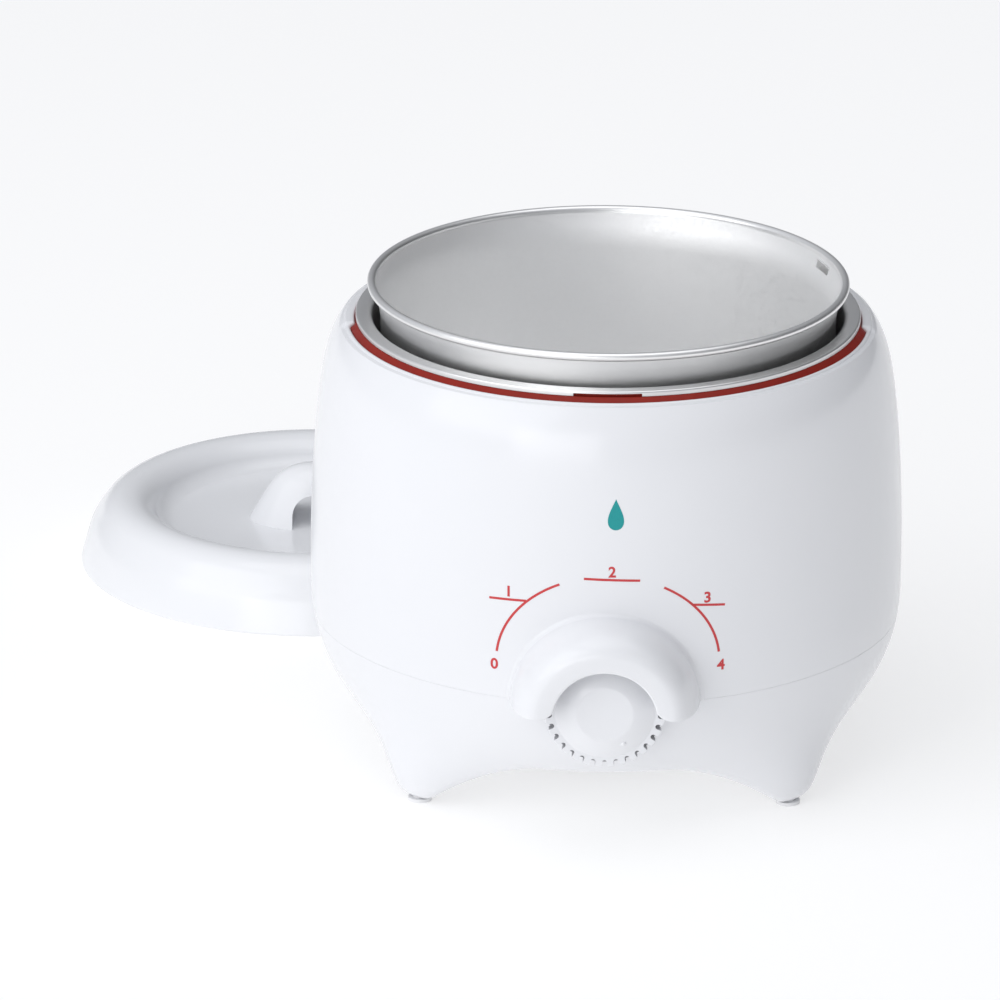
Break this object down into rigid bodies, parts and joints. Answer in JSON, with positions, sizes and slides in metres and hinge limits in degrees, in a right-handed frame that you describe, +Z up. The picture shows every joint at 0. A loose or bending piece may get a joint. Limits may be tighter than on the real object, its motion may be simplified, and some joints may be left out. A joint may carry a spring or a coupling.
{
  "type": "wax warmer pot",
  "caption": "Round white two-shell wax warmer on four feet, with a heated well, lift-out metal pot, hooded dial knob and a dished lid with a grip.",
  "frame": {"origin": "on the surface that the feet stand on, under the axis of the well and pot", "axes": "+Z up along the pot's axis; -Y to the front, where the knob is; +X to the right seen from the front"},
  "size_m": [0.245, 0.3209, 0.1395],
  "materials": {
    "white_plastic": "glossy moulded",
    "knob_plastic": "satin moulded",
    "lid_plastic": "glossy moulded",
    "foot_rubber": "matt",
    "screw_steel": "zinc plated",
    "well_metal": "polished",
    "pot_aluminium": "satin spun with a polished rim",
    "gasket_silicone": "satin silicone",
    "mica": "laminated mica",
    "terminal_brass": "plain",
    "felt": "glass felt",
    "bracket_steel": "zinc plated",
    "fuse_case": "plain",
    "thermostat_ceramic": "matt",
    "inlet_plastic": "matt moulded",
    "lead_brown": "insulated wire",
    "lead_red": "insulated wire",
    "lead_blue": "insulated wire",
    "lead_green": "insulated wire"
  },
  "bodies": {
    "warmer": {"base_shell": "white_plastic", "upper_shell": "white_plastic", "shell_screws": "screw_steel", "foot_pads": "foot_rubber", "heating_well": "well_metal", "rim_gasket": "gasket_silicone", "band_heater": "mica", "heater_terminals": "terminal_brass", "insulation_sleeve": "felt", "insulation_pad": "felt", "well_stud": "screw_steel", "clamp_bar": "bracket_steel", "clamp_bar_screws": "screw_steel", "clamp_nut": "screw_steel", "earth_tag": "terminal_brass", "thermal_fuse": "fuse_case", "fuse_clip": "bracket_steel", "thermostat_bracket": "bracket_steel", "thermostat_nut": "screw_steel", "thermostat_body": "thermostat_ceramic", "thermostat_blade": "bracket_steel", "thermostat_terminals": "terminal_brass", "power_inlet": "inlet_plastic", "inlet_blades": "terminal_brass", "live_lead": "lead_brown", "switched_lead": "lead_red", "neutral_lead": "lead_blue", "earth_lead": "lead_green"},
    "dial": {"knob": "knob_plastic", "thermostat_spindle": "screw_steel"},
    "pot": {"wax_pot": "pot_aluminium"},
    "lid": {"lid_shell": "lid_plastic", "lid_handle": "lid_plastic", "lid_screws": "screw_steel"}
  },
  "joints": [
    {"name": "dial_turn", "type": "hinge", "parent": "warmer", "child": "dial", "pos_m": [0, -0.0855, 0.0414], "axis": [0, 1, 0], "range_deg": [0, 150]},
    {"name": "pot_lift", "type": "slide", "parent": "warmer", "child": "pot", "axis": [0, 0, 1], "range_m": [0, 0.15]},
    {"name": "lid_lift", "type": "slide", "parent": "warmer", "child": "lid", "axis": [0, 0, 1], "range_m": [0, 0.2]}
  ]
}
